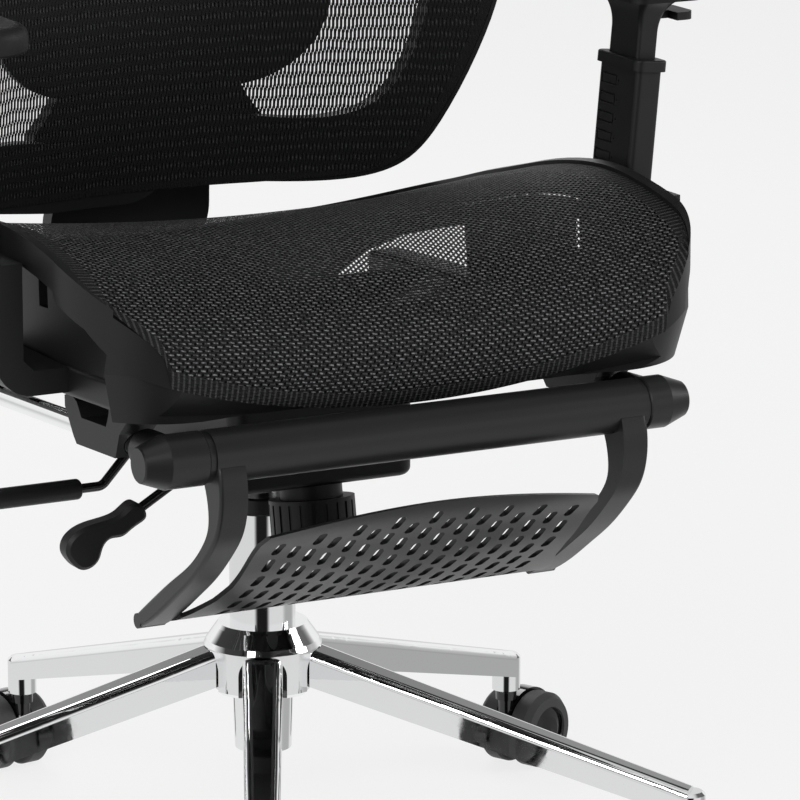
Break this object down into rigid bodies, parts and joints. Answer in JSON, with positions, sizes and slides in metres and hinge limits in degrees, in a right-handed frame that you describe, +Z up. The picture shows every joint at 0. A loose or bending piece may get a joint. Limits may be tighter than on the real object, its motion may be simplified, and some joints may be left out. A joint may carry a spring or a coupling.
{
  "type": "reclining office chair with footrest",
  "caption": "Swivel office chair with a chromed star base, gas lift, mesh seat, reclining mesh back, adjustable armrests, headrest and a footrest that slides out and flips up.",
  "frame": {"origin": "on the floor, on the axis of the gas lift", "axes": "+X to the viewer's right from the front, the chair faces -Y, +Z up"},
  "size_m": [0.7444, 0.7451, 1.236],
  "materials": {
    "chrome": "mirror",
    "steel": "satin",
    "lever_steel": "satin",
    "black_plastic": "satin",
    "caster_plastic": "gloss",
    "pad_rubber": "matte",
    "mesh_fabric": "woven"
  },
  "bodies": {
    "base": {"star_base": "chrome", "caster_stems": "steel", "lift_tube": "chrome", "lift_bush": "black_plastic", "lift_bearing": "steel"},
    "lift_rod": {"lift_rod": "steel"},
    "seat": {"lift_cylinder": "steel", "mechanism_housing": "black_plastic", "tension_spring": "steel", "tension_bolt": "steel", "recline_axle": "steel", "seat_frame": "black_plastic", "seat_mesh": "mesh_fabric", "seat_carrier": "black_plastic", "seat_screws": "steel", "rail_guide_left": "black_plastic", "rail_guide_right": "black_plastic", "arm_bracket_left": "black_plastic", "arm_bracket_right": "black_plastic", "arm_post_left": "black_plastic", "arm_post_right": "black_plastic"},
    "tension_knob": {"tension_knob": "black_plastic"},
    "height_lever": {"height_lever": "lever_steel", "height_paddle": "black_plastic"},
    "recline_lever": {"recline_lever": "lever_steel", "recline_grip": "black_plastic"},
    "footrest_slide": {"footrest_rail_left": "chrome", "footrest_rail_right": "chrome", "pivot_cap_left": "black_plastic", "pivot_cap_right": "black_plastic", "footrest_axle": "steel"},
    "footrest": {"footrest_bar": "black_plastic", "footrest_arm_left": "black_plastic", "footrest_arm_right": "black_plastic", "footrest_panel": "black_plastic"},
    "back": {"back_bracket": "black_plastic", "back_spine": "black_plastic", "back_frame": "black_plastic", "back_mesh": "mesh_fabric", "lumbar_pad": "black_plastic", "headrest_sleeve": "black_plastic"},
    "headrest_stem": {"headrest_stem": "steel"},
    "headrest": {"headrest_frame": "black_plastic", "headrest_mesh": "mesh_fabric"},
    "caster_1": {"caster_body_1": "caster_plastic"},
    "wheels_1": {"caster_wheels_1": "caster_plastic"},
    "caster_2": {"caster_body_2": "caster_plastic"},
    "wheels_2": {"caster_wheels_2": "caster_plastic"},
    "caster_3": {"caster_body_3": "caster_plastic"},
    "wheels_3": {"caster_wheels_3": "caster_plastic"},
    "caster_4": {"caster_body_4": "caster_plastic"},
    "wheels_4": {"caster_wheels_4": "caster_plastic"},
    "caster_5": {"caster_body_5": "caster_plastic"},
    "wheels_5": {"caster_wheels_5": "caster_plastic"},
    "arm_left": {"arm_slider_left": "black_plastic"},
    "trigger_left": {"arm_trigger_left": "black_plastic"},
    "pad_left": {"arm_pad_left": "pad_rubber"},
    "arm_right": {"arm_slider_right": "black_plastic"},
    "trigger_right": {"arm_trigger_right": "black_plastic"},
    "pad_right": {"arm_pad_right": "pad_rubber"}
  },
  "joints": [
    {"name": "caster_swivel_1", "type": "hinge", "parent": "base", "child": "caster_1", "pos_m": [-0.14925, -0.29936, 0.055], "axis": [0, 0, 1], "continuous": true},
    {"name": "wheel_spin_1", "type": "hinge", "parent": "caster_1", "child": "wheels_1", "pos_m": [-0.15732, -0.32153, 0.031], "axis": [0.9397, -0.342, 0], "continuous": true},
    {"name": "caster_swivel_2", "type": "hinge", "parent": "base", "child": "caster_2", "pos_m": [0.23858, -0.23445, 0.055], "axis": [0, 0, 1], "continuous": true},
    {"name": "wheel_spin_2", "type": "hinge", "parent": "caster_2", "child": "wheels_2", "pos_m": [0.25902, -0.24625, 0.031], "axis": [0.5, 0.866, 0], "continuous": true},
    {"name": "caster_swivel_3", "type": "hinge", "parent": "base", "child": "caster_3", "pos_m": [0.2967, 0.15446, 0.055], "axis": [0, 0, 1], "continuous": true},
    {"name": "wheel_spin_3", "type": "hinge", "parent": "caster_3", "child": "wheels_3", "pos_m": [0.31827, 0.16405, 0.031], "axis": [-0.4067, 0.9135, 0], "continuous": true},
    {"name": "caster_swivel_4", "type": "hinge", "parent": "base", "child": "caster_4", "pos_m": [-0.05521, 0.32991, 0.055], "axis": [0, 0, 1], "continuous": true},
    {"name": "wheel_spin_4", "type": "hinge", "parent": "caster_4", "child": "wheels_4", "pos_m": [-0.05931, 0.35315, 0.031], "axis": [-0.9848, -0.1736, 0], "continuous": true},
    {"name": "caster_swivel_5", "type": "hinge", "parent": "base", "child": "caster_5", "pos_m": [-0.33083, 0.04944, 0.055], "axis": [0, 0, 1], "continuous": true},
    {"name": "wheel_spin_5", "type": "hinge", "parent": "caster_5", "child": "wheels_5", "pos_m": [-0.353, 0.04137, 0.031], "axis": [0.342, -0.9397, 0], "continuous": true},
    {"name": "lift_swivel", "type": "hinge", "parent": "base", "child": "lift_rod", "pos_m": [0, 0, 0.112], "axis": [0, 0, 1], "continuous": true},
    {"name": "lift_height", "type": "slide", "parent": "lift_rod", "child": "seat", "axis": [0, 0, 1], "range_m": [0, 0.085]},
    {"name": "tension_turn", "type": "hinge", "parent": "seat", "child": "tension_knob", "pos_m": [0, -0.074, 0.372], "axis": [0, 0.165, 0.9863], "range_deg": [-540, 540]},
    {"name": "height_lift", "type": "hinge", "parent": "seat", "child": "height_lever", "pos_m": [-0.065, -0.09, 0.352], "axis": [0, 1, 0], "range_deg": [0, 8], "stiffness_Nm_per_rad": 1, "springref_deg": -8.59},
    {"name": "recline_release", "type": "hinge", "parent": "seat", "child": "recline_lever", "pos_m": [-0.065, 0, 0.352], "axis": [1, 0, 0], "range_deg": [0, 30]},
    {"name": "footrest_out", "type": "slide", "parent": "seat", "child": "footrest_slide", "axis": [0, -0.9984, 0.0558], "range_m": [0, 0.17]},
    {"name": "footrest_flip", "type": "hinge", "parent": "footrest_slide", "child": "footrest", "pos_m": [0, -0.26, 0.4064], "axis": [-1, 0, 0], "range_deg": [0, 120]},
    {"name": "back_recline", "type": "hinge", "parent": "seat", "child": "back", "pos_m": [0, 0.118, 0.368], "axis": [-1, 0, 0], "range_deg": [0, 40], "stiffness_Nm_per_rad": 45, "springref_deg": -28.65},
    {"name": "headrest_height", "type": "slide", "parent": "back", "child": "headrest_stem", "axis": [0, 0.1908, 0.9816], "range_m": [0, 0.045]},
    {"name": "headrest_tilt", "type": "hinge", "parent": "headrest_stem", "child": "headrest", "pos_m": [0, 0.30435, 1.16], "axis": [1, 0, 0], "range_deg": [-15, 25]},
    {"name": "arm_height_left", "type": "slide", "parent": "seat", "child": "arm_left", "axis": [-0.0924, 0, 0.9957], "range_m": [0, 0.07]},
    {"name": "trigger_left_lift", "type": "hinge", "parent": "arm_left", "child": "trigger_left", "pos_m": [-0.277, -0.08, 0.657], "axis": [0, 1, 0], "range_deg": [0, 4.5], "stiffness_Nm_per_rad": 0.8, "springref_deg": -6.88},
    {"name": "pad_left_slide", "type": "slide", "parent": "arm_left", "child": "pad_left", "axis": [0, -1, 0], "range_m": [-0.03, 0.03]},
    {"name": "arm_height_right", "type": "slide", "parent": "seat", "child": "arm_right", "axis": [0.0924, 0, 0.9957], "range_m": [0, 0.07]},
    {"name": "trigger_right_lift", "type": "hinge", "parent": "arm_right", "child": "trigger_right", "pos_m": [0.277, -0.08, 0.657], "axis": [0, -1, 0], "range_deg": [0, 4.5], "stiffness_Nm_per_rad": 0.8, "springref_deg": -6.88},
    {"name": "pad_right_slide", "type": "slide", "parent": "arm_right", "child": "pad_right", "axis": [0, -1, 0], "range_m": [-0.03, 0.03]}
  ]
}
